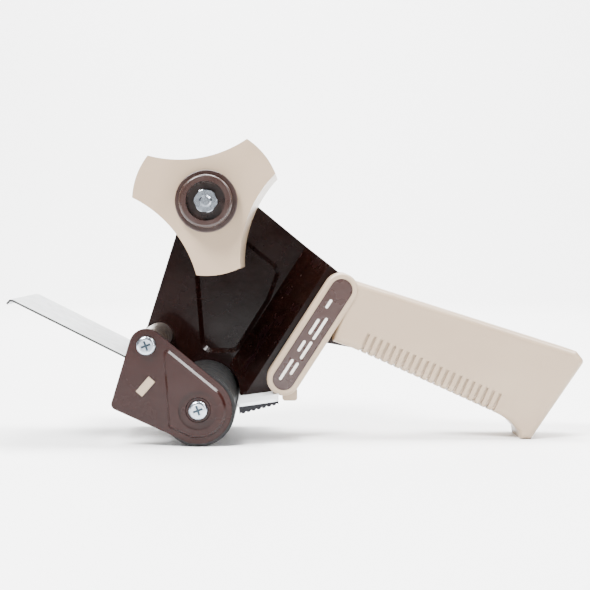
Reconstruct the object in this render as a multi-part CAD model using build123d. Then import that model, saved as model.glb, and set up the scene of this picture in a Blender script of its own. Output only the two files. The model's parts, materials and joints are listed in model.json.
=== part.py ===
from build123d import *
import os
from math import atan2, cos, degrees, hypot, radians, sin

# Tape gun dispenser for 3 in tape. Millimetres, +Z up, standing on a level surface.
# +X runs from the tongue to the handle, and -Y is the open side where the roll is loaded.
# Everything is drawn from the application roller's axis (X 0), the middle of the tape's
# width (Y 0) and the surface (Z 0). ORIGIN_X and ORIGIN_Y then move it to the origin,
# the bottom centre of the whole object.

# ---- Driving dimensions ----
GAP = 78.0                    # between the two side plates, for 76.2 mm tape
SHEET = 1.6                   # frame steel
PLATE = 1.5                   # side plate steel
FIT = 0.06                    # radial clearance of a running fit
END_PLAY = 0.3                # between a turning part and what is beside it

ROLLER_R = 19.05              # application roller, which rests on the surface
TYRE = 4.5                    # its rubber thickness
ROLLER = (0.0, ROLLER_R)
GUIDE = (-26.5, 52.2)
GUIDE_R = 7.3
HUB = (4.4, 125.9)
HUB_R = 38.1                  # bore of a 3 in tape core
HUB_WAIST = 22.5              # least radius between two lobes
LOBE = 35.0                   # degrees that one lobe spans
LOBE_AT = (39.5, 159.5, 279.5)
HUB_TAPER = 1.0               # how much larger the hub is at its back
BOLT_R = 3.175                # 1/4-20 bolt
NUT_AF = 11.1
NUT_H = 5.6
NUT_TURN = -6.0               # degrees, the nut's first corner

CORNER = (-41.5, 22.1)        # lower corner of both plates
JOGGLE_TURN = 57.0            # degrees, slope of the frame's bends and of the collar
FAR_BEND = -8.2               # bends, measured square to that slope
MID_BEND = 7.05
PANEL_DEPTH = 2.5
EMBOSS = 1.2

COLLAR_TOP = (74.5, 79.8)
COLLAR_LOW = (43.9, 32.5)
COLLAR_R = 8.9
HANDLE_W = 32.0
WALL = 3.2
RIDGES = 21
RIDGE_STEP = 3.85

TIP = (-96.4, 76.4)           # tongue tip
TONGUE_TURN = -26.7
TONGUE_LONG = 86.0
TONGUE_T = 1.0

NEAR = -GAP / 2
FAR = GAP / 2
ORIGIN_X = 52.71
ORIGIN_Y = -2.05


def slab(sketch, y_low, y_high):
    """Extrude a sketch drawn in X and Z along Y."""
    return extrude(Plane.XZ.offset(-y_high) * sketch, amount=y_high - y_low)


def disc(at, radius, y_low, y_high):
    return slab(Pos(*at) * Circle(radius), y_low, y_high)


def ring(at, outer, inner, y_low, y_high):
    return slab(Pos(*at) * (Circle(outer) - Circle(inner)), y_low, y_high)


def hull(*circles):
    """Sketch of a band stretched round (x, z, radius) circles."""
    edges = []
    for x, z, radius in circles:
        edges += (Pos(x, z) * Circle(radius)).edges()
    return make_hull(edges)


def strip(points, thickness):
    """Outline of a bent strip: one face follows the points, the other is on their left."""
    turns = []
    for (x0, z0), (x1, z1) in zip(points, points[1:]):
        turns.append(atan2(z1 - z0, x1 - x0))
    turns = [turns[0]] + turns + [turns[-1]]
    other = []
    for (x, z), before, after in zip(points, turns, turns[1:]):
        middle = (before + after) / 2
        reach = thickness / cos((after - before) / 2)
        other.append((x - reach * sin(middle), z + reach * cos(middle)))
    return make_face(Polyline(*points, *reversed(other), close=True))


def drawn(sketch, y_from, y_to):
    """A pressed form: its wall leans in by as much as it is deep."""
    top = offset(sketch, -abs(y_to - y_from), kind=Kind.INTERSECTION)
    return loft([Plane.XZ.offset(-y_from) * sketch, Plane.XZ.offset(-y_to) * top], ruled=True)


def hexagon(at, across_flats, turn, y_low, y_high):
    corner_r = across_flats / 2 / cos(radians(30))
    return slab(Pos(*at) * Rot(0, 0, turn) * RegularPolygon(corner_r, 6), y_low, y_high)


def polar(at, radius, angle):
    return at[0] + radius * cos(radians(angle)), at[1] + radius * sin(radians(angle))


def along_tongue(distance, drop=0.0):
    """Point on the tongue's top face, counted from its tip, and a drop square to it."""
    x, z = polar(TIP, distance, TONGUE_TURN)
    return x + drop * sin(radians(TONGUE_TURN)), z - drop * cos(radians(TONGUE_TURN))


def tilted(shape):
    """Dip a shape towards the roller, about the blade's right-hand edge."""
    x, z = BLADE_PIVOT
    return Pos(x, 0, z) * Rot(0, -BLADE_TILT, 0) * Pos(-x, 0, -z) * shape


def save(name, *solids):
    shape = solids[0] if len(solids) == 1 else Compound(children=list(solids))
    shape = Pos(-ORIGIN_X, -ORIGIN_Y, 0) * shape
    export_step(shape, f"parts/{name}.step")


# ---- Guide bar section, shared with the slots that its ends sit in ----
TAB_AT = (-26.9, 31.2)
TAB_TURN = 49.0
TAB = (10.0, 4.2)
TAB_PLAY = 0.15


def tab_section(play=0.0):
    return Pos(*TAB_AT) * Rot(0, 0, TAB_TURN) * Rectangle(TAB[0] + 2 * play, TAB[1] + 2 * play)


# ---- Main frame: far plate, joggle to mid-width, tang in the handle, bottom flange ----
SPIGOT_R = 2.6                # riveted far ends of both axles
ROLLER_ROOM = 1.8             # the frame is notched round the application roller
FLANGE_Z = 25.6
FLANGE = (20.2, 40.0)
BLADE_PIVOT = (41.0, 24.0)
BLADE_TILT = 8.0              # degrees, the flange and what hangs from it dip towards the roller
TANG_END = (150.0, 41.5)
BLADE_SCREW_X = 34.5
BLADE_SCREW_Y = (8.0, 29.0)
BLADE_SCREW_R = 1.9
HANDLE_SCREWS = ((61.0, 61.0), (104.0, 60.0), (146.0, 45.0))
HANDLE_SCREW_R = 2.0


def frame_outline():
    hub_boss = (*HUB, 15.4)
    outline = hull((*CORNER, 3.0), (*ROLLER, 17.4), hub_boss)
    outline += hull(hub_boss, (72.3, 84.8, 4.0), (39.5, 27.2, 2.5), (22.0, 24.9, 2.5))
    return outline + hull((60.0, 60.0, 8.0), (*TANG_END, 6.0))


def roller_end_outline():
    return hull((*CORNER, 3.0), (*ROLLER, 17.4), (*GUIDE, 8.7))


def main_frame():
    bends = strip([(-130.0, FAR), (FAR_BEND, FAR), (MID_BEND, -SHEET / 2), (170.0, -SHEET / 2)], SHEET)
    slope = radians(JOGGLE_TURN)
    across = Plane(
        origin=(0, 0, 0), x_dir=(sin(slope), 0, -cos(slope)), z_dir=(cos(slope), 0, sin(slope))
    )
    sheet = extrude(across * bends, amount=200.0, both=True)
    frame = sheet & slab(frame_outline(), -5.0, 50.0)
    frame -= disc(ROLLER, ROLLER_R + ROLLER_ROOM, -5.0, FAR)
    notch_r = ROLLER_R + ROLLER_ROOM
    behind = make_face(
        Polyline(
            (FAR_BEND, FAR + SHEET), (MID_BEND, SHEET / 2), (MID_BEND + 40, SHEET / 2), (MID_BEND + 40, FAR + SHEET),
            close=True,
        )
    )
    pocket_wall = ring(ROLLER, notch_r + SHEET, notch_r, -5.0, FAR + SHEET) & slab(frame_outline(), -5.0, 50.0)
    pocket_wall = pocket_wall & extrude(across * behind, amount=200.0, both=True)
    frame += pocket_wall - frame
    beside_roller = Pos(*ROLLER) * (Circle(notch_r) & Pos(notch_r / 2, notch_r / 2 - 3.0) * Rectangle(notch_r, notch_r))
    roller_end = roller_end_outline() + beside_roller
    frame += slab(roller_end, FAR, FAR + SHEET) - frame

    panel = make_face(
        Polyline(
            (-3.0, 42.0), (-7.0, 94.0), (22.0, 107.0), (43.0, 90.0), (36.5, 72.0), (17.7, 42.0), close=True
        )
    )
    panel = fillet(panel.vertices(), 7.0)
    frame += drawn(panel, FAR + SHEET, FAR + SHEET + PANEL_DEPTH)
    frame -= drawn(panel, FAR, FAR + PANEL_DEPTH)

    middle_x = sum(FLANGE) / 2
    flange = Pos(middle_x, 1.0 + FAR / 2, FLANGE_Z) * Box(FLANGE[1] - FLANGE[0], FAR + 2.0, SHEET)
    flange = tilted(fillet(flange.edges().filter_by(Axis.Z), 2.5))
    frame += flange - frame

    frame -= disc(HUB, BOLT_R + 0.1, FAR - 1, FAR + 5)
    frame -= disc(ROLLER, SPIGOT_R, FAR - 1, FAR + 5)
    frame -= disc(GUIDE, SPIGOT_R, FAR - 1, FAR + 5)
    frame -= slab(tab_section(TAB_PLAY), FAR - 1, FAR + 5)
    for x, z in HANDLE_SCREWS:
        frame -= disc((x, z), HANDLE_SCREW_R + 0.2, -5, 5)
    for y in BLADE_SCREW_Y:
        frame -= tilted(Pos(BLADE_SCREW_X, y, FLANGE_Z) * Cylinder(BLADE_SCREW_R + 0.15, 6))
    return frame


# ---- Side plate: pressed steel with a raised area, a dished screw seat and a slot ----
SCREW_R = 2.4
DISH_R = 10.0


def side_plate():
    outline = roller_end_outline()
    area = offset(outline, -3.0) & make_face(
        Polyline((-17.5, 44.0), (-14.5, 0.0), (30.0, 0.0), (30.0, 60.0), (-17.5, 60.0), close=True)
    )
    area = fillet(area.vertices(), 1.8)
    seat = slab(Pos(*ROLLER) * Circle(DISH_R), NEAR - 9, NEAR + 9)
    raised = drawn(area, NEAR - PLATE, NEAR - PLATE - EMBOSS) - seat
    hollow = drawn(area, NEAR, NEAR - EMBOSS) - slab(Pos(*ROLLER) * Circle(DISH_R + 1.0), NEAR - 9, NEAR + 9)
    plate = slab(outline, NEAR - PLATE, NEAR) + raised - hollow
    plate -= slab(tab_section(TAB_PLAY), NEAR - 5, NEAR + 1)
    for at in (ROLLER, GUIDE):
        plate -= disc(at, SCREW_R + 0.1, NEAR - 9, NEAR + 1)
    dish = Pos(ROLLER[0], NEAR - PLATE - 0.1, ROLLER[1]) * Rot(90, 0, 0) * Cone(6.2, 7.0, 1.0)
    plate -= dish
    return plate


# ---- Fasteners ----
def pan_screw(at, head_y, shank_end, shank_r=SCREW_R, head_r=5.0, head_h=2.7):
    """Cross-recess pan-head screw along Y, its head on the -Y side of head_y."""
    head = disc(at, head_r, head_y - head_h, head_y)
    rim = head.edges().sort_by(Axis.Y)[0]
    head = fillet(rim, head_h * 0.6)
    screw = head + disc(at, shank_r, head_y, shank_end)
    recess = Rectangle(head_r * 1.05, head_r * 0.22) + Rectangle(head_r * 0.22, head_r * 1.05)
    return screw - slab(Pos(*at) * Rot(0, 0, 20) * recess, head_y - head_h - 1, head_y - head_h * 0.4)


# ---- Rollers ----
AXLE_R = 4.0
GUIDE_AXLE_R = 3.2
BUSH_LONG = 9.0
ROLLER_END = FAR - END_PLAY


def rollers():
    save("roller_tyre", ring(ROLLER, ROLLER_R, ROLLER_R - TYRE, -ROLLER_END, ROLLER_END))
    inner = ROLLER_R - TYRE
    web = ring(ROLLER, 10.0, 7.0, -ROLLER_END, ROLLER_END)
    core = ring(ROLLER, inner, inner - 2.0, -ROLLER_END, ROLLER_END) + web
    for turn in range(0, 360, 60):
        middle = polar(ROLLER, 11.2, turn)
        core += slab(Pos(*middle) * Rot(0, 0, turn) * Rectangle(4.0, 1.6), -ROLLER_END + 2, ROLLER_END - 2)
    save("roller_core", core)
    bushes = []
    guides = []
    for low in (-ROLLER_END, ROLLER_END - BUSH_LONG):
        bushes.append(ring(ROLLER, 7.0, AXLE_R + FIT, low, low + BUSH_LONG))
        guides.append(ring(GUIDE, GUIDE_R - 1.4, GUIDE_AXLE_R + FIT, low, low + BUSH_LONG))
    save("roller_bushes", *bushes)
    save("guide_bushes", *guides)
    save("guide_roller", ring(GUIDE, GUIDE_R, GUIDE_R - 1.4, -ROLLER_END, ROLLER_END))
    for name, at, radius in (("roller_axle", ROLLER, AXLE_R), ("guide_axle", GUIDE, GUIDE_AXLE_R)):
        axle = disc(at, radius, NEAR, FAR) + disc(at, SPIGOT_R, FAR, FAR + SHEET)
        axle += disc(at, SPIGOT_R + 1.8, FAR + SHEET, FAR + SHEET + 1.2)
        axle -= disc(at, SCREW_R, NEAR - 1, NEAR + 11)
        save(name, axle)
    screws = [pan_screw(at, NEAR - PLATE, NEAR + 9) for at in (GUIDE, ROLLER)]
    save("plate_screws", *screws)


# ---- Guide bar and tongue ----
TONGUE_HOLD = 73.0            # where the tongue is riveted, from its tip
RIVET_Y = (-28.0, 0.0, 28.0)


def guide_bar():
    shelf_ends = [along_tongue(TONGUE_HOLD + step, TONGUE_T + 1.5) for step in (-5.0, 5.0)]
    body = hull(*((x, z, 1.5) for x, z in shelf_ends), (*TAB_AT, 3.2))
    bar = slab(body, NEAR + 0.2, FAR - 0.2) + slab(tab_section(), NEAR - PLATE - 0.6, FAR + SHEET + 0.6)
    for y in RIVET_Y:
        bar -= rivet_hole(y, 1.5)
    return bar


def rivet_hole(y, radius, length=9.0):
    x, z = along_tongue(TONGUE_HOLD, length / 2 - 2)
    return Pos(x, y, z) * Rot(0, -TONGUE_TURN, 0) * Cylinder(radius, length)


def rivet(y):
    x, z = along_tongue(TONGUE_HOLD, -0.35)
    head = Pos(x, y, z) * Rot(0, -TONGUE_TURN, 0) * Cylinder(2.6, 0.7)
    x, z = along_tongue(TONGUE_HOLD, 2.9)
    return head + Pos(x, y, z) * Rot(0, -TONGUE_TURN, 0) * Cylinder(1.5, 5.8)


def tongue():
    lip = along_tongue(0.0, 3.0)
    lip = (lip[0] - 0.6, lip[1])
    points = [along_tongue(TONGUE_LONG), along_tongue(2.0), along_tongue(0.2, 0.6), lip]
    plate = slab(strip(points, TONGUE_T), NEAR + 1.0, FAR - 1.0)
    for y in RIVET_Y:
        plate -= rivet_hole(y, 1.5)
    return plate


# ---- Blade under the frame's bottom flange ----
HOLDER_T = 1.6
BLADE_T = 0.8
TOOTH_STEP = 2.6
TOOTH = 2.4
EAR_TEETH = 8                 # the blade's near end is folded into a toothed ear
EAR_STEP = 2.7
EAR_NOTCH = 1.1


def blade_parts():
    half = FAR - 1.0
    top = FLANGE_Z - SHEET / 2
    plate = Pos(30.4, 0, top - HOLDER_T / 2) * Box(21.2, 2 * half, HOLDER_T)
    plate = fillet(plate.edges().filter_by(Axis.Z), 2.0)
    below = top - HOLDER_T
    holder = plate
    points = [(20.4, 19.6), (30.0, below - BLADE_T), (41.0, below - BLADE_T)]
    blade = slab(strip(points, BLADE_T), -half + 1.6, half)
    ear = make_face(Polyline((20.4, below), (20.4, 19.3), (41.0, below - 1.5), (41.0, below), close=True))
    for index in range(EAR_TEETH):
        at = 21.2 + EAR_STEP * index
        bottom = 19.3 + (below - 1.5 - 19.3) * (at - 20.4) / 20.6
        ear -= Pos(at, bottom) * Rot(0, 0, 45) * Rectangle(EAR_NOTCH, EAR_NOTCH)
    blade += slab(ear, -half, -half + 1.6)
    count = int(2 * half / TOOTH_STEP)
    slope = atan2(points[1][1] - points[0][1], points[1][0] - points[0][0])
    for index in range(count):
        y = -half + 1.6 + TOOTH_STEP * (index + 0.5)
        notch = Polyline((-0.5, -TOOTH_STEP / 2), (TOOTH, 0), (-0.5, TOOTH_STEP / 2), close=True)
        cutter = extrude(make_face(notch), amount=3.0, both=True)
        blade -= Pos(points[0][0], y, points[0][1]) * Rot(0, -degrees(slope), 0) * cutter
    screws = []
    nuts = []
    for y in BLADE_SCREW_Y:
        bolt_hole = Pos(BLADE_SCREW_X, y, top) * Cylinder(BLADE_SCREW_R + 0.15, 12)
        holder -= bolt_hole
        blade -= bolt_hole
        seat = FLANGE_Z + SHEET / 2
        head_z = below - BLADE_T
        head = Pos(BLADE_SCREW_X, y, head_z - 1.0) * Cylinder(3.4, 2.0)
        head = fillet(head.edges().sort_by(Axis.Z)[0], 1.2)
        head -= Pos(BLADE_SCREW_X, y, head_z - 2.0) * Box(3.6, 0.8, 1.4)
        head -= Pos(BLADE_SCREW_X, y, head_z - 2.0) * Box(0.8, 3.6, 1.4)
        shank = seat + 3.6 - head_z
        screws.append(head + Pos(BLADE_SCREW_X, y, head_z + shank / 2) * Cylinder(BLADE_SCREW_R, shank))
        nut = extrude(Pos(BLADE_SCREW_X, y, seat) * RegularPolygon(3.9, 6), amount=2.8)
        nuts.append(nut - Pos(BLADE_SCREW_X, y, seat) * Cylinder(BLADE_SCREW_R, 12))
    save("blade_holder", tilted(holder))
    save("blade", tilted(blade))
    save("blade_screws", *[tilted(screw) for screw in screws])
    save("blade_nuts", *[tilted(nut) for nut in nuts])


# ---- Hub ----
HUB_FRONT = -37.5
HUB_BACK = 36.5
HUB_WALL = 2.6
TUBE_R = 12.5
TUBE_BACK = 31.0
POCKET_R = 10.0               # spring pocket in the front of the hub's tube
POCKET_END = -17.0
HUB_BUSH_R = 6.0
RIB_DEEP = 0.9


def hub_section(grow=0.0):
    radius = HUB_R + grow
    corner = radians(60 - LOBE / 2)
    half_chord = radius * sin(corner)
    rise = radius * cos(corner) - (HUB_WAIST + grow)
    bite_r = (half_chord ** 2 + rise ** 2) / (2 * rise)
    section = Circle(radius)
    for lobe in LOBE_AT:
        section -= Pos(*polar((0, 0), HUB_WAIST + grow + bite_r, lobe + 60)) * Circle(bite_r)
    return Pos(*HUB) * section


def hub():
    front = Plane.XZ.offset(-HUB_FRONT) * hub_section()
    back = Plane.XZ.offset(-HUB_BACK) * hub_section(HUB_TAPER)
    body = loft([front, back])
    inside = offset(hub_section(), -HUB_WALL, kind=Kind.INTERSECTION)
    hollow = slab(inside, HUB_FRONT + 3.0, HUB_BACK + 1)
    webs = Circle(TUBE_R)
    for lobe in LOBE_AT:
        webs += Rot(0, 0, lobe) * Pos(HUB_R / 2, 0) * Rectangle(HUB_R, 2.2)
    webs = Pos(*HUB) * webs & hub_section()
    hollow -= slab(webs, HUB_FRONT, TUBE_BACK)
    body -= hollow
    for lobe in LOBE_AT:
        for step in (-2, -1, 0, 1, 2):
            at = polar(HUB, HUB_R + 0.9, lobe + step * 6.3)
            groove = disc(at, RIB_DEEP + 0.6, HUB_FRONT + 4.0, HUB_BACK + 1)
            body -= groove
    body -= disc(HUB, POCKET_R, HUB_FRONT - 1, POCKET_END)
    body -= disc(HUB, HUB_BUSH_R, POCKET_END - 1, TUBE_BACK + 1)
    return body


def hub_parts():
    save("hub", hub())
    bushes = []
    for low, high in ((POCKET_END, POCKET_END + 8), (TUBE_BACK - 8, TUBE_BACK)):
        bushes.append(ring(HUB, HUB_BUSH_R, BOLT_R + FIT, low, high))
    save("hub_bushes", *bushes)
    jam_low = FAR - NUT_H
    bolt = disc(HUB, BOLT_R, CAP_FLOOR - NUT_H - 1.6, FAR + SHEET)
    bolt = chamfer(bolt.edges().sort_by(Axis.Y)[0], 0.8)
    save("hub_bolt", bolt + hexagon(HUB, NUT_AF, 0, FAR + SHEET, FAR + SHEET + 4.0))
    save("jam_nut", hexagon(HUB, NUT_AF, 10, jam_low, FAR) - disc(HUB, BOLT_R, jam_low - 1, FAR + 1))
    save("friction_washer", ring(HUB, 11.5, BOLT_R + 0.1, TUBE_BACK + END_PLAY, jam_low))
    washer_high = POCKET_END - END_PLAY
    save("spring_seat", ring(HUB, POCKET_R - 0.5, BOLT_R + 0.15, washer_high - 1.2, washer_high))


# ---- Brake: cap, spring and adjusting nut on the bolt ----
CAP_FLANGE = (-41.4, -39.9)   # the flange that stands just clear of the hub's front
CAP_FLOOR = -41.5             # the nut sits here
CAP_RIM = -48.5
CAP_SKIRT_R = 9.4
CAP_SKIRT_END = -32.5
SPRING_R = 6.6
SPRING_WIRE = 0.8


def brake_parts():
    flange = disc(HUB, 16.0, *CAP_FLANGE)
    flange = fillet(flange.edges(), 0.6)
    cup = disc(HUB, 13.5, CAP_RIM, CAP_FLANGE[0] + 0.5)
    cup = fillet(cup.edges().sort_by(Axis.Y)[0], 1.4)
    recess = disc(HUB, 10.0, CAP_RIM - 1, CAP_FLOOR)
    skirt = ring(HUB, CAP_SKIRT_R, CAP_SKIRT_R - 1.6, CAP_FLANGE[1] - 1.0, CAP_SKIRT_END)
    cap = flange + cup + skirt - recess - disc(HUB, BOLT_R + 0.15, CAP_RIM, CAP_SKIRT_END)
    save("brake_cap", cap)
    nut = hexagon(HUB, NUT_AF, NUT_TURN, CAP_FLOOR - NUT_H, CAP_FLOOR)
    dome = Pos(HUB[0], CAP_FLOOR - NUT_H / 2, HUB[1]) * Rot(90, 0, 0) * Cylinder(NUT_AF / 2 + 0.45, NUT_H)
    nut &= fillet(dome.edges().filter_by(GeomType.CIRCLE), 0.4)
    save("brake_nut", nut - disc(HUB, BOLT_R + 0.05, CAP_FLOOR - NUT_H - 1, CAP_FLOOR + 1))
    low = CAP_FLANGE[1] + SPRING_WIRE + 0.05
    high = POCKET_END - END_PLAY - 1.2 - SPRING_WIRE - 0.05
    turns = 7.0
    path = Helix((high - low) / turns, high - low, SPRING_R)
    wire = sweep(Plane(origin=path @ 0, z_dir=path % 0) * Circle(SPRING_WIRE), path=path, is_frenet=True)
    save("brake_spring", Pos(HUB[0], high, HUB[1]) * Rot(90, 0, 0) * wire)


# ---- Handle: two moulded halves clamped on the tang, with a collar, foot and finger ridges ----
RIDGE_START = (80.7, 48.7)
RIDGE_END = (158.9, 13.2)
RIDGE_DEEP = 1.0
RIDGE_WIDE = 1.7
RIDGE_TALL = 10.5
LABEL_R = 5.96
LABEL_DEEP = 1.0


def handle_profile():
    collar = hull((*COLLAR_LOW, COLLAR_R), (*COLLAR_TOP, COLLAR_R))
    grip = make_face(
        Polyline(
            (70.0, 52.5), RIDGE_START, RIDGE_END, (164.6, 9.6), (169.6, 4.2), (170.3, 0.0), (176.0, 0.0),
            (204.4, 41.6), (200.2, 46.9), (78.9, 85.5), close=True,
        )
    )
    return collar, grip


def handle_body():
    collar, grip = handle_profile()
    grip = fillet(grip.vertices().filter_by_position(Axis.X, 160.0, 167.0), 6.0)
    grip = fillet(grip.vertices().filter_by_position(Axis.X, 199.0, 206.0), 2.6)
    body = slab(grip, -HANDLE_W / 2, HANDLE_W / 2)
    body = fillet(body.edges().filter_by(GeomType.PLANE, reverse=True).filter_by(Axis.Y, reverse=True), 3.5)
    foot = Pos(47.2, 0, 24.0) * Box(8.0, 24.0, 7.0)
    foot = fillet(foot.edges().filter_by(Axis.Y), 1.6)
    front = slab(collar, -HANDLE_W / 2 - 1.0, HANDLE_W / 2 + 1.0)
    front = fillet(front.edges().filter_by(Axis.Y, reverse=True), 1.6)
    return body + front + foot


def ridge_grooves():
    run_x = RIDGE_END[0] - RIDGE_START[0]
    run_z = RIDGE_END[1] - RIDGE_START[1]
    long = hypot(run_x, run_z)
    turn = degrees(atan2(run_z, run_x))
    section = Sketch()
    first = (long - RIDGE_STEP * (RIDGES - 1)) / 2
    for index in range(RIDGES):
        at = first + index * RIDGE_STEP
        section += Pos(at, RIDGE_TALL / 2 - 2.0) * Rectangle(RIDGE_WIDE, RIDGE_TALL + 4.0)
    section = Pos(*RIDGE_START) * Rot(0, 0, turn) * section
    kept = Pos(*RIDGE_START) * Rot(0, 0, turn) * Pos(long / 2, RIDGE_DEEP + 20.0) * Rectangle(long + 40, 40.0)
    half = HANDLE_W / 2
    core = slab(kept, -half + RIDGE_DEEP, half - RIDGE_DEEP)
    core = fillet(core.edges().filter_by(Axis((0, 0, 0), (run_x, 0, run_z))), 3.2)
    return slab(section, -half - 1, half + 1) - core


def handle_parts():
    body = handle_body() - ridge_grooves()
    collar, grip = handle_profile()
    cavity = offset(grip, -WALL, kind=Kind.INTERSECTION)
    hollow = slab(cavity, -HANDLE_W / 2 + WALL, HANDLE_W / 2 - WALL)
    for at in HANDLE_SCREWS:
        hollow -= disc(at, 4.6, -HANDLE_W, HANDLE_W)
    body -= hollow
    body -= slab(offset(frame_outline(), 0.4, kind=Kind.INTERSECTION), -SHEET / 2, SHEET / 2)
    body -= tilted(Pos(33.0, 0, FLANGE_Z - 4.0) * Box(16.8, 90.0, 6.8))
    body -= tilted(Pos(33.0, 22.4, FLANGE_Z - 0.6) * Box(16.8, 45.2, 13.2))
    label = hull((*COLLAR_LOW, LABEL_R), (*COLLAR_TOP, LABEL_R))
    face = -HANDLE_W / 2 - 1.0
    body -= slab(label, face - 1, face + LABEL_DEEP)
    inset = hull((*COLLAR_LOW, LABEL_R - 0.15), (*COLLAR_TOP, LABEL_R - 0.15))
    save("label_plate", slab(inset, face + 0.2, face + LABEL_DEEP))
    screws = []
    for at in HANDLE_SCREWS:
        body -= disc(at, HANDLE_SCREW_R, -9.0, HANDLE_W)
        body -= disc(at, 3.9, HANDLE_W / 2 - 4.0, HANDLE_W)
        head_y = HANDLE_W / 2 - 4.0
        screw = disc(at, HANDLE_SCREW_R - 0.15, -8.0, head_y) + disc(at, 3.6, head_y, head_y + 2.2)
        screw -= slab(Pos(*at) * (Rectangle(4, 0.9) + Rectangle(0.9, 4)), head_y + 1.0, head_y + 4)
        screws.append(screw)
    save("handle_screws", *screws)
    far_side = Pos(100, 50, 50) * Box(400, 100, 400)
    save("handle_near", body - far_side)
    save("handle_far", body & far_side)


os.makedirs("parts", exist_ok=True)
save("main_frame", main_frame())
save("side_plate", side_plate())
rollers()
save("guide_bar", guide_bar())
save("tongue", tongue())
save("tongue_rivets", *[rivet(y) for y in RIVET_Y])
blade_parts()
hub_parts()
brake_parts()
handle_parts()
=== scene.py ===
import json
import math

import bmesh
import bpy
from mathutils import Matrix, Vector


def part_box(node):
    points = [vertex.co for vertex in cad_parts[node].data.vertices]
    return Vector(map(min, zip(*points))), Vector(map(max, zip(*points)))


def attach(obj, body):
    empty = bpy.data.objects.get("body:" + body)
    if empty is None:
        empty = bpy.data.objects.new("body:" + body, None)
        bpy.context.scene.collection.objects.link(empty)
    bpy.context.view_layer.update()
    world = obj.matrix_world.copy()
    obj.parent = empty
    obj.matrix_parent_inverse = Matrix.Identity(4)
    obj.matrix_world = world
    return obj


# Tape gun dispenser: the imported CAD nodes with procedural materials, small pieces that only
# show, a pale studio sweep, soft lights and the camera. Metres, in the CAD's own frame.

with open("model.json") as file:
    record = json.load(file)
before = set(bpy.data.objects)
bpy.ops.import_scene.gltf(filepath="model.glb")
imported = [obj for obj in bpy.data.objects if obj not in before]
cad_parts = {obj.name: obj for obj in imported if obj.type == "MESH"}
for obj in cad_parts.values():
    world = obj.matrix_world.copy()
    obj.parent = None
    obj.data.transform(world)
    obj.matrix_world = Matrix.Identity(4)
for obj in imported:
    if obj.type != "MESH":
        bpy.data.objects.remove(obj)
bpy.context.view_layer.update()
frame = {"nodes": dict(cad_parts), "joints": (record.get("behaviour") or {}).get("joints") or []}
nodes = frame["nodes"]
joints = {joint["name"]: joint for joint in frame["joints"]}

MM = 0.001
ROLLER = Vector(joints["application_roller_spin"]["pos_m"])
GUIDE = Vector(joints["guide_roller_spin"]["pos_m"])

# ---- Colours, linear ----
BEIGE = (0.335, 0.250, 0.172)
BEIGE_DARK = (0.21, 0.145, 0.092)
FRAME_BROWN = (0.0060, 0.0018, 0.0014)
FRAME_WORN = (0.022, 0.012, 0.010)
PLATE_BROWN = (0.0135, 0.0034, 0.0026)
PLATE_WORN = (0.038, 0.017, 0.013)
CAP_BROWN = (0.0200, 0.0085, 0.0066)
CAP_LIGHT = (0.036, 0.018, 0.014)
LABEL_BROWN = (0.026, 0.0105, 0.0085)
LABEL_PALE = (0.62, 0.58, 0.54)
ZINC = (0.52, 0.57, 0.64)
ZINC_DARK = (0.26, 0.29, 0.33)
STEEL = (0.50, 0.50, 0.50)
STEEL_DARK = (0.22, 0.22, 0.22)
RUBBER = (0.0045, 0.0045, 0.0050)
RUBBER_DUST = (0.020, 0.019, 0.018)
SWEEP = (0.90, 0.90, 0.90)


# ---- Materials ----
SPARK_SIZE = 0.0005


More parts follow.
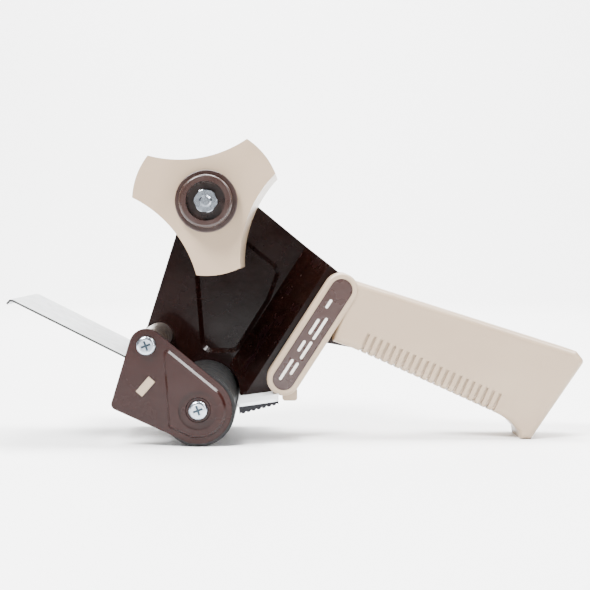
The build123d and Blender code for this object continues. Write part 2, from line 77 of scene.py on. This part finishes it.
class Surface:
    """A Principled material that is built up from procedural layers."""

    def __init__(self, name, metallic=0.0, coat=0.0, coat_rough=0.1, specular=0.5):
        self.material = bpy.data.materials.new(name)
        self.material.use_nodes = True
        self.tree = self.material.node_tree
        self.shader = self.tree.nodes["Principled BSDF"]
        self.shader.inputs["Metallic"].default_value = metallic
        self.shader.inputs["Coat Weight"].default_value = coat
        self.shader.inputs["Coat Roughness"].default_value = coat_rough
        self.shader.inputs["Specular IOR Level"].default_value = specular
        self.place = self.tree.nodes.new("ShaderNodeTexCoord").outputs["Object"]

    def add(self, kind, **values):
        node = self.tree.nodes.new(kind)
        for key, value in values.items():
            setattr(node, key, value)
        return node

    def noise(self, size, detail=4.0, stretch=(1, 1, 1)):
        """Noise whose features are about size metres, drawn out along the axes by stretch."""
        mapping = self.add("ShaderNodeMapping")
        mapping.inputs["Scale"].default_value = [1 / (size * part) for part in stretch]
        self.tree.links.new(self.place, mapping.inputs["Vector"])
        noise = self.add("ShaderNodeTexNoise")
        noise.inputs["Scale"].default_value = 1.0
        noise.inputs["Detail"].default_value = detail
        self.tree.links.new(mapping.outputs["Vector"], noise.inputs["Vector"])
        return noise.outputs["Fac"]

    def spread(self, value, low, high, to_low=0.0, to_high=1.0):
        """Map a value from low..high to to_low..to_high, kept inside those limits."""
        ranged = self.add("ShaderNodeMapRange")
        ranged.inputs["From Min"].default_value = low
        ranged.inputs["From Max"].default_value = high
        ranged.inputs["To Min"].default_value = to_low
        ranged.inputs["To Max"].default_value = to_high
        self.tree.links.new(value, ranged.inputs["Value"])
        return ranged.outputs["Result"]

    def times(self, first, second):
        product = self.add("ShaderNodeMath", operation="MULTIPLY")
        self.tree.links.new(first, product.inputs[0])
        self.tree.links.new(second, product.inputs[1])
        return product.outputs[0]

    def blend(self, share, low, high):
        """Mix two colours, or a colour over an earlier mix, by a share from 0 to 1."""
        mix = self.add("ShaderNodeMix", data_type="RGBA")
        self.tree.links.new(share, mix.inputs["Factor"])
        for socket, colour in ((mix.inputs[6], low), (mix.inputs[7], high)):
            if isinstance(colour, tuple):
                socket.default_value = (*colour, 1.0)
            else:
                self.tree.links.new(colour, socket)
        return mix.outputs[2]

    def paint(self, colour):
        self.tree.links.new(colour, self.shader.inputs["Base Color"])

    def roughen(self, value):
        self.tree.links.new(value, self.shader.inputs["Roughness"])

    def emboss(self, *layers):
        """Stack bumps; each layer is a height and its depth in metres."""
        normal = None
        for height, depth in layers:
            bump = self.add("ShaderNodeBump")
            bump.inputs["Strength"].default_value = 1.0
            bump.inputs["Distance"].default_value = depth
            self.tree.links.new(height, bump.inputs["Height"])
            if normal:
                self.tree.links.new(normal, bump.inputs["Normal"])
            normal = bump.outputs["Normal"]
        self.tree.links.new(normal, self.shader.inputs["Normal"])

    def sideways(self):
        """1 on faces that look along Y, such as the sheared sides of a cross-wise strip."""
        parts = self.add("ShaderNodeSeparateXYZ")
        geometry = self.add("ShaderNodeNewGeometry")
        self.tree.links.new(geometry.outputs["True Normal"], parts.inputs["Vector"])
        size = self.add("ShaderNodeMath", operation="ABSOLUTE")
        self.tree.links.new(parts.outputs["Y"], size.inputs[0])
        return self.spread(size.outputs[0], 0.6, 0.9)

    def scuffs(self):
        """Fine scratches in two directions, broken up into patches."""
        one = self.spread(self.noise(0.0090, 2.0, (0.3, 0.3, 14)), 0.68, 0.74, 0.0, 0.6)
        two = self.spread(self.noise(0.0110, 2.0, (16, 0.5, 0.4)), 0.69, 0.75, 0.0, 0.6)
        patches = self.spread(self.noise(0.022, 2.0), 0.54, 0.66)
        both = self.add("ShaderNodeMath", operation="MAXIMUM")
        self.tree.links.new(one, both.inputs[0])
        self.tree.links.new(two, both.inputs[1])
        return self.times(both.outputs[0], patches)


def gloss_paint(name, colour, worn, coat):
    """Sprayed gloss paint on pressed steel: orange peel, thin scuffs, handling haze."""
    s = Surface(name, coat=coat, coat_rough=0.06, specular=0.12)
    cloud = s.spread(s.noise(0.03, 3.0), 0.35, 0.7)
    base = s.blend(cloud, colour, tuple(part * 1.35 for part in colour))
    scuffs = s.scuffs()
    s.paint(s.blend(scuffs, base, worn))
    s.roughen(s.spread(s.noise(0.012, 5.0), 0.3, 0.75, 0.16, 0.34))
    s.emboss((s.noise(0.0030, 1.0), 0.00004), (scuffs, -0.00001))
    return s.material


def moulded_plastic(name, colour, shade, rough=(0.30, 0.46)):
    """Injection-moulded plastic: fine spark texture, faint flow marks, grime in patches."""
    s = Surface(name, coat=0.12, coat_rough=0.25, specular=0.45)
    flow = s.spread(s.noise(0.045, 4.0, (1.0, 1.0, 0.5)), 0.3, 0.75)
    base = s.blend(flow, colour, tuple(a * 0.8 + b * 0.2 for a, b in zip(colour, shade)))
    grime = s.times(s.spread(s.noise(0.006, 5.0), 0.58, 0.9), s.spread(s.noise(0.03, 2.0), 0.52, 0.8))
    scuffs = s.scuffs()
    s.paint(s.blend(scuffs, s.blend(grime, base, shade), tuple(part * 0.9 for part in shade)))
    s.roughen(s.spread(s.noise(0.008, 4.0), 0.3, 0.7, *rough))
    s.emboss((s.noise(SPARK_SIZE, 2.0), 0.00003), (s.noise(0.006, 2.0), 0.00008), (scuffs, -0.00002))
    return s.material


def bare_metal(name, colour, shade, rough=(0.18, 0.34), grain=(1, 1, 1), metallic=1.0, edge_shade=None):
    """Zinc-plated or ground steel: directional grain, cloudy plating.

    Faces that look along Y, the sheared side edges, take a dark painted shade colour, where one is given.
    """
    s = Surface(name, metallic=metallic)
    cloud = s.spread(s.noise(0.005, 5.0), 0.35, 0.7)
    lines = s.noise(0.0004, 3.0, grain)
    face = s.blend(s.spread(lines, 0.35, 0.75, 0.0, 0.35), s.blend(cloud, colour, shade), shade)
    # Faces that look along Y are painted the dark colour, as painted shade on the sheared edges.
    s.paint(s.blend(s.sideways(), face, edge_shade) if edge_shade else face)
    s.roughen(s.spread(cloud, 0.0, 1.0, *rough))
    s.emboss((lines, 0.000015), (s.noise(0.003, 3.0), 0.00002))
    return s.material


def rubber(name):
    """Black rubber tyre: ground surface with paper dust and tape residue in bands."""
    s = Surface(name, specular=0.35)
    bands = s.spread(s.noise(0.004, 3.0, (4, 1, 4)), 0.45, 0.75)
    dust = s.times(bands, s.spread(s.noise(0.0015, 4.0), 0.4, 0.7))
    s.paint(s.blend(dust, RUBBER, RUBBER_DUST))
    s.roughen(s.spread(s.noise(0.003, 4.0), 0.3, 0.7, 0.38, 0.62))
    s.emboss((s.noise(0.0003, 3.0, (5, 1, 5)), 0.00004), (s.noise(0.002, 2.0), 0.00003))
    return s.material


def coat_nodes(material, *names):
    """Give CAD nodes one material in place of their own."""
    for name in names:
        node = nodes[name]
        node.data.materials.clear()
        node.data.materials.append(material)


beige = moulded_plastic("beige_plastic", BEIGE, BEIGE_DARK)
frame_paint = gloss_paint("frame_paint", FRAME_BROWN, FRAME_WORN, coat=0.10)
plate_paint = gloss_paint("side_plate_paint", PLATE_BROWN, PLATE_WORN, coat=0.16)
zinc = bare_metal("zinc", ZINC, ZINC_DARK, rough=(0.2, 0.36))
tongue_steel = bare_metal(
    "tongue_steel",
    (0.50, 0.51, 0.52),
    (0.40, 0.41, 0.42),
    (0.34, 0.46),
    (40, 1, 40),
    metallic=0.55,
    # Near-black painted shade on the tongue's faces that look along Y.
    edge_shade=(0.03, 0.03, 0.03),
)
holder_steel = bare_metal(
    "holder_steel", (0.80, 0.81, 0.82), (0.66, 0.68, 0.70), (0.30, 0.42), (1, 30, 1), metallic=0.25
)
# The blade's faces that look along Y get a near-black painted shade.
blade_steel = bare_metal(
    "blade_steel", (0.22, 0.22, 0.23), (0.10, 0.10, 0.11), (0.24, 0.36), (1, 24, 1), edge_shade=(0.018, 0.018, 0.02)
)
roller_steel = bare_metal(
    "guide_roller_steel", (0.42, 0.37, 0.33), (0.26, 0.22, 0.20), (0.28, 0.44), (20, 1, 20)
)
axle_steel = bare_metal("axle_steel", STEEL, STEEL_DARK, (0.2, 0.34), (24, 1, 24))
cap_plastic = moulded_plastic("cap_plastic", CAP_BROWN, CAP_LIGHT, rough=(0.24, 0.38))
label_plastic = moulded_plastic("label_plastic", LABEL_BROWN, CAP_LIGHT, rough=(0.22, 0.34))
nylon = moulded_plastic("bush_nylon", (0.72, 0.70, 0.64), (0.55, 0.52, 0.46))
core_plastic = moulded_plastic("roller_core_plastic", (0.02, 0.02, 0.021), (0.05, 0.05, 0.05))
fibre = moulded_plastic("fibre", (0.22, 0.10, 0.055), (0.12, 0.06, 0.04), rough=(0.6, 0.75))

# Near-black recess floors: painted shade where the screw recesses fall dark.
recess_shade = bare_metal(
    "recess_shade", (0.035, 0.06, 0.08), (0.015, 0.025, 0.035), (0.35, 0.5), metallic=0.6
)

coat_nodes(frame_paint, "main_frame")
coat_nodes(plate_paint, "side_plate")
coat_nodes(beige, "hub", "handle_near", "handle_far", "guide_bar")
coat_nodes(zinc, "plate_screws", "brake_nut", "hub_bolt", "jam_nut", "spring_seat", "tongue_rivets")
coat_nodes(zinc, "blade_screws", "blade_nuts", "handle_screws")
coat_nodes(tongue_steel, "tongue")
coat_nodes(holder_steel, "blade_holder")
coat_nodes(blade_steel, "blade", "brake_spring")
coat_nodes(roller_steel, "guide_roller")
coat_nodes(axle_steel, "roller_axle", "guide_axle")
coat_nodes(cap_plastic, "brake_cap")
coat_nodes(label_plastic, "label_plate")
coat_nodes(nylon, "roller_bushes", "guide_bushes", "hub_bushes")
coat_nodes(core_plastic, "roller_core")
coat_nodes(fibre, "friction_washer")
coat_nodes(rubber("roller_rubber"), "roller_tyre")

# ---- Edge rounding on pressed and moulded parts ----
ROUNDED = {"hub": 0.5, "main_frame": 0.25, "side_plate": 0.3, "label_plate": 0.2, "brake_nut": 0.15}
BEVEL_SEGMENTS = 2
BEVEL_FROM_ANGLE = 38.0


def round_edges(node, width):
    bevel = node.modifiers.new("rounded_edges", "BEVEL")
    bevel.width = width * MM
    bevel.segments = BEVEL_SEGMENTS
    bevel.limit_method = "ANGLE"
    bevel.angle_limit = math.radians(BEVEL_FROM_ANGLE)
    bevel.use_clamp_overlap = True
    bevel.harden_normals = False


# ---- Drive recesses: dark floors in the cross recesses of the screws, as painted shade ----
RECESS_ARM = 2.5
RECESS_WIDE = 1.15
RECESS_TURN = 20.0
RECESS_SINK = 0.45


def cross_outline(arm, half_width):
    """The twelve corners of a plus sign, in order round it."""
    corners = []
    for quarter in range(4):
        turn = Matrix.Rotation(math.radians(90 * quarter), 2)
        for corner in ((arm, -half_width), (arm, half_width), (half_width, half_width)):
            corners.append(turn @ Vector(corner))
    return corners


def recess_floor(name, centre, sink):
    """A shallow cross-shaped pit that tapers towards the screw's middle."""
    mesh = bmesh.new()
    tilt = Matrix.Rotation(math.radians(RECESS_TURN), 2)
    rims = []
    for share, depth in ((1.0, 0.0), (0.8, 0.25), (0.35, 0.3)):
        ring = []
        for corner in cross_outline(RECESS_ARM * MM * share, RECESS_WIDE / 2 * MM * (0.4 + 0.6 * share)):
            x, z = tilt @ corner
            ring.append(mesh.verts.new((centre[0] + x, centre[1] + sink + depth * MM, centre[2] + z)))
        rims.append(ring)
    for outer, inner in zip(rims, rims[1:]):
        for index in range(len(outer)):
            after = (index + 1) % len(outer)
            mesh.faces.new((outer[index], outer[after], inner[after], inner[index]))
    mesh.faces.new(rims[-1])
    data = bpy.data.meshes.new(name)
    mesh.to_mesh(data)
    mesh.free()
    pit = bpy.data.objects.new(name, data)
    bpy.context.scene.collection.objects.link(pit)
    data.materials.append(recess_shade)
    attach(pit, "frame")


def screw_recesses():
    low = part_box("plate_screws")[0]
    for name, axis in (("guide_screw_recess", GUIDE), ("roller_screw_recess", ROLLER)):
        recess_floor(name, (axis.x, low[1], axis.z), RECESS_SINK * MM)


# ---- Label: plain printed bars in place of writing ----
LABEL_BARS = (
    (-0.34, 0.19, -1.6),
    (-0.12, 0.10, -1.6),
    (0.06, 0.14, -1.6),
    (-0.30, 0.11, 1.7),
    (-0.13, 0.16, 1.7),
    (0.07, 0.20, 1.7),
    (0.27, 0.08, -1.6),
)
BAR_TALL = 1.5
BAR_LIFT = 0.06
LABEL_END_R = 5.8


def rounded_bar(mesh, centre, along, across, length, height, lift):
    """A flat bar with round ends, as one face just above the label."""
    corners = []
    radius = height / 2
    for end in (1, -1):
        for step in range(9):
            angle = math.radians(-90 + 22.5 * step)
            reach = end * (length / 2 - radius + radius * math.cos(angle))
            rise = end * radius * math.sin(angle)
            corners.append(mesh.verts.new(centre + along * reach + across * rise + lift))
    mesh.faces.new(corners)


def label_bars():
    low, high = (Vector(corner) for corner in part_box("label_plate"))
    plate_r = LABEL_END_R * MM
    start = Vector((low.x + plate_r, low.y, low.z + plate_r))
    end = Vector((high.x - plate_r, low.y, high.z - plate_r))
    middle = (start + end) / 2
    along = (end - start).normalized()
    across = Vector((-along.z, 0.0, along.x))
    long = (end - start).length + 2 * plate_r
    mesh = bmesh.new()
    lift = Vector((0.0, -BAR_LIFT * MM, 0.0))
    for place, share, row in LABEL_BARS:
        centre = middle + along * (place * long) - across * (row * MM)
        rounded_bar(mesh, centre, along, across, share * long, BAR_TALL * MM, lift)
    data = bpy.data.meshes.new("label_bars")
    mesh.to_mesh(data)
    mesh.free()
    bars = bpy.data.objects.new("label_bars", data)
    bpy.context.scene.collection.objects.link(bars)
    s = Surface("label_print", specular=0.3)
    worn = s.spread(s.noise(0.0012, 4.0), 0.55, 0.8)
    s.paint(s.blend(worn, LABEL_PALE, tuple(part * 0.6 for part in LABEL_PALE)))
    s.roughen(s.spread(s.noise(0.002, 3.0), 0.3, 0.7, 0.4, 0.55))
    data.materials.append(s.material)
    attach(bars, "frame")


# ---- Stage: a pale sweep ----
def sweep():
    """A floor that curves up into a backdrop behind the object."""
    half = 5.0
    front = -6.0
    back = 1.6
    bend = 0.9
    profile = [(front, 0.0), (back, 0.0)]
    steps = 24
    for index in range(1, steps + 1):
        angle = math.radians(90) * index / steps
        profile.append((back + bend * math.sin(angle), bend * (1 - math.cos(angle))))
    profile.append((back + bend, 3.5))
    mesh = bpy.data.meshes.new("sweep")
    vertices = [(x, y, z) for y, z in profile for x in (-half, half)]
    faces = [(2 * i, 2 * i + 1, 2 * i + 3, 2 * i + 2) for i in range(len(profile) - 1)]
    mesh.from_pydata(vertices, [], faces)
    for polygon in mesh.polygons:
        polygon.use_smooth = True
    floor = bpy.data.objects.new("sweep", mesh)
    bpy.context.scene.collection.objects.link(floor)
    s = Surface("sweep_paper", specular=0.2)
    s.paint(s.blend(s.spread(s.noise(0.4, 2.0), 0.3, 0.7), SWEEP, tuple(part * 0.985 for part in SWEEP)))
    s.roughen(s.spread(s.noise(0.1, 2.0), 0.3, 0.7, 0.55, 0.65))
    mesh.materials.append(s.material)


def area_light(name, place, aim, size, power):
    light = bpy.data.lights.new(name, "AREA")
    light.shape = "RECTANGLE"
    light.size, light.size_y = size
    light.energy = power
    lamp = bpy.data.objects.new(name, light)
    lamp.location = place
    lamp.rotation_euler = (Vector(aim) - Vector(place)).to_track_quat("-Z", "Y").to_euler()
    bpy.context.scene.collection.objects.link(lamp)


def studio():
    world = bpy.data.worlds.new("studio")
    world.use_nodes = True
    background = world.node_tree.nodes["Background"]
    background.inputs["Color"].default_value = (1.0, 1.0, 1.0, 1.0)
    background.inputs["Strength"].default_value = 0.24
    bpy.context.scene.world = world
    middle = (0.0, 0.0, 0.07)
    area_light("key", (-0.5, -0.6, 1.0), middle, (0.5, 0.35), 52.0)
    area_light("top", (0.1, 0.15, 1.1), middle, (0.8, 0.4), 44.0)
    area_light("fill", (0.9, -0.9, 0.45), middle, (0.25, 0.7), 9.0)
    area_light("back_wall", (0.0, 0.9, 1.5), (0.0, 2.4, 0.5), (3.0, 1.0), 230.0)
    area_light("edge", (0.72, -0.04, 0.92), (0.0, -0.04, 0.04), (0.35, 0.25), 16.0)


# ---- Camera: from the open side, a little above the hub's height ----
CAMERA_AT = (-0.0107, -0.735, 0.1052)
CAMERA_DOWN = 2.23
CAMERA_TURN = -0.63
CAMERA_LENS = 83.2


def camera():
    data = bpy.data.cameras.new("camera")
    data.lens = CAMERA_LENS
    data.sensor_width = 36.0
    eye = bpy.data.objects.new("camera", data)
    eye.location = CAMERA_AT
    eye.rotation_euler = (math.radians(90 - CAMERA_DOWN), 0.0, math.radians(CAMERA_TURN))
    bpy.context.scene.collection.objects.link(eye)
    bpy.context.scene.camera = eye


for node_name, node_width in ROUNDED.items():
    round_edges(nodes[node_name], node_width)
screw_recesses()
label_bars()
sweep()
studio()
camera()
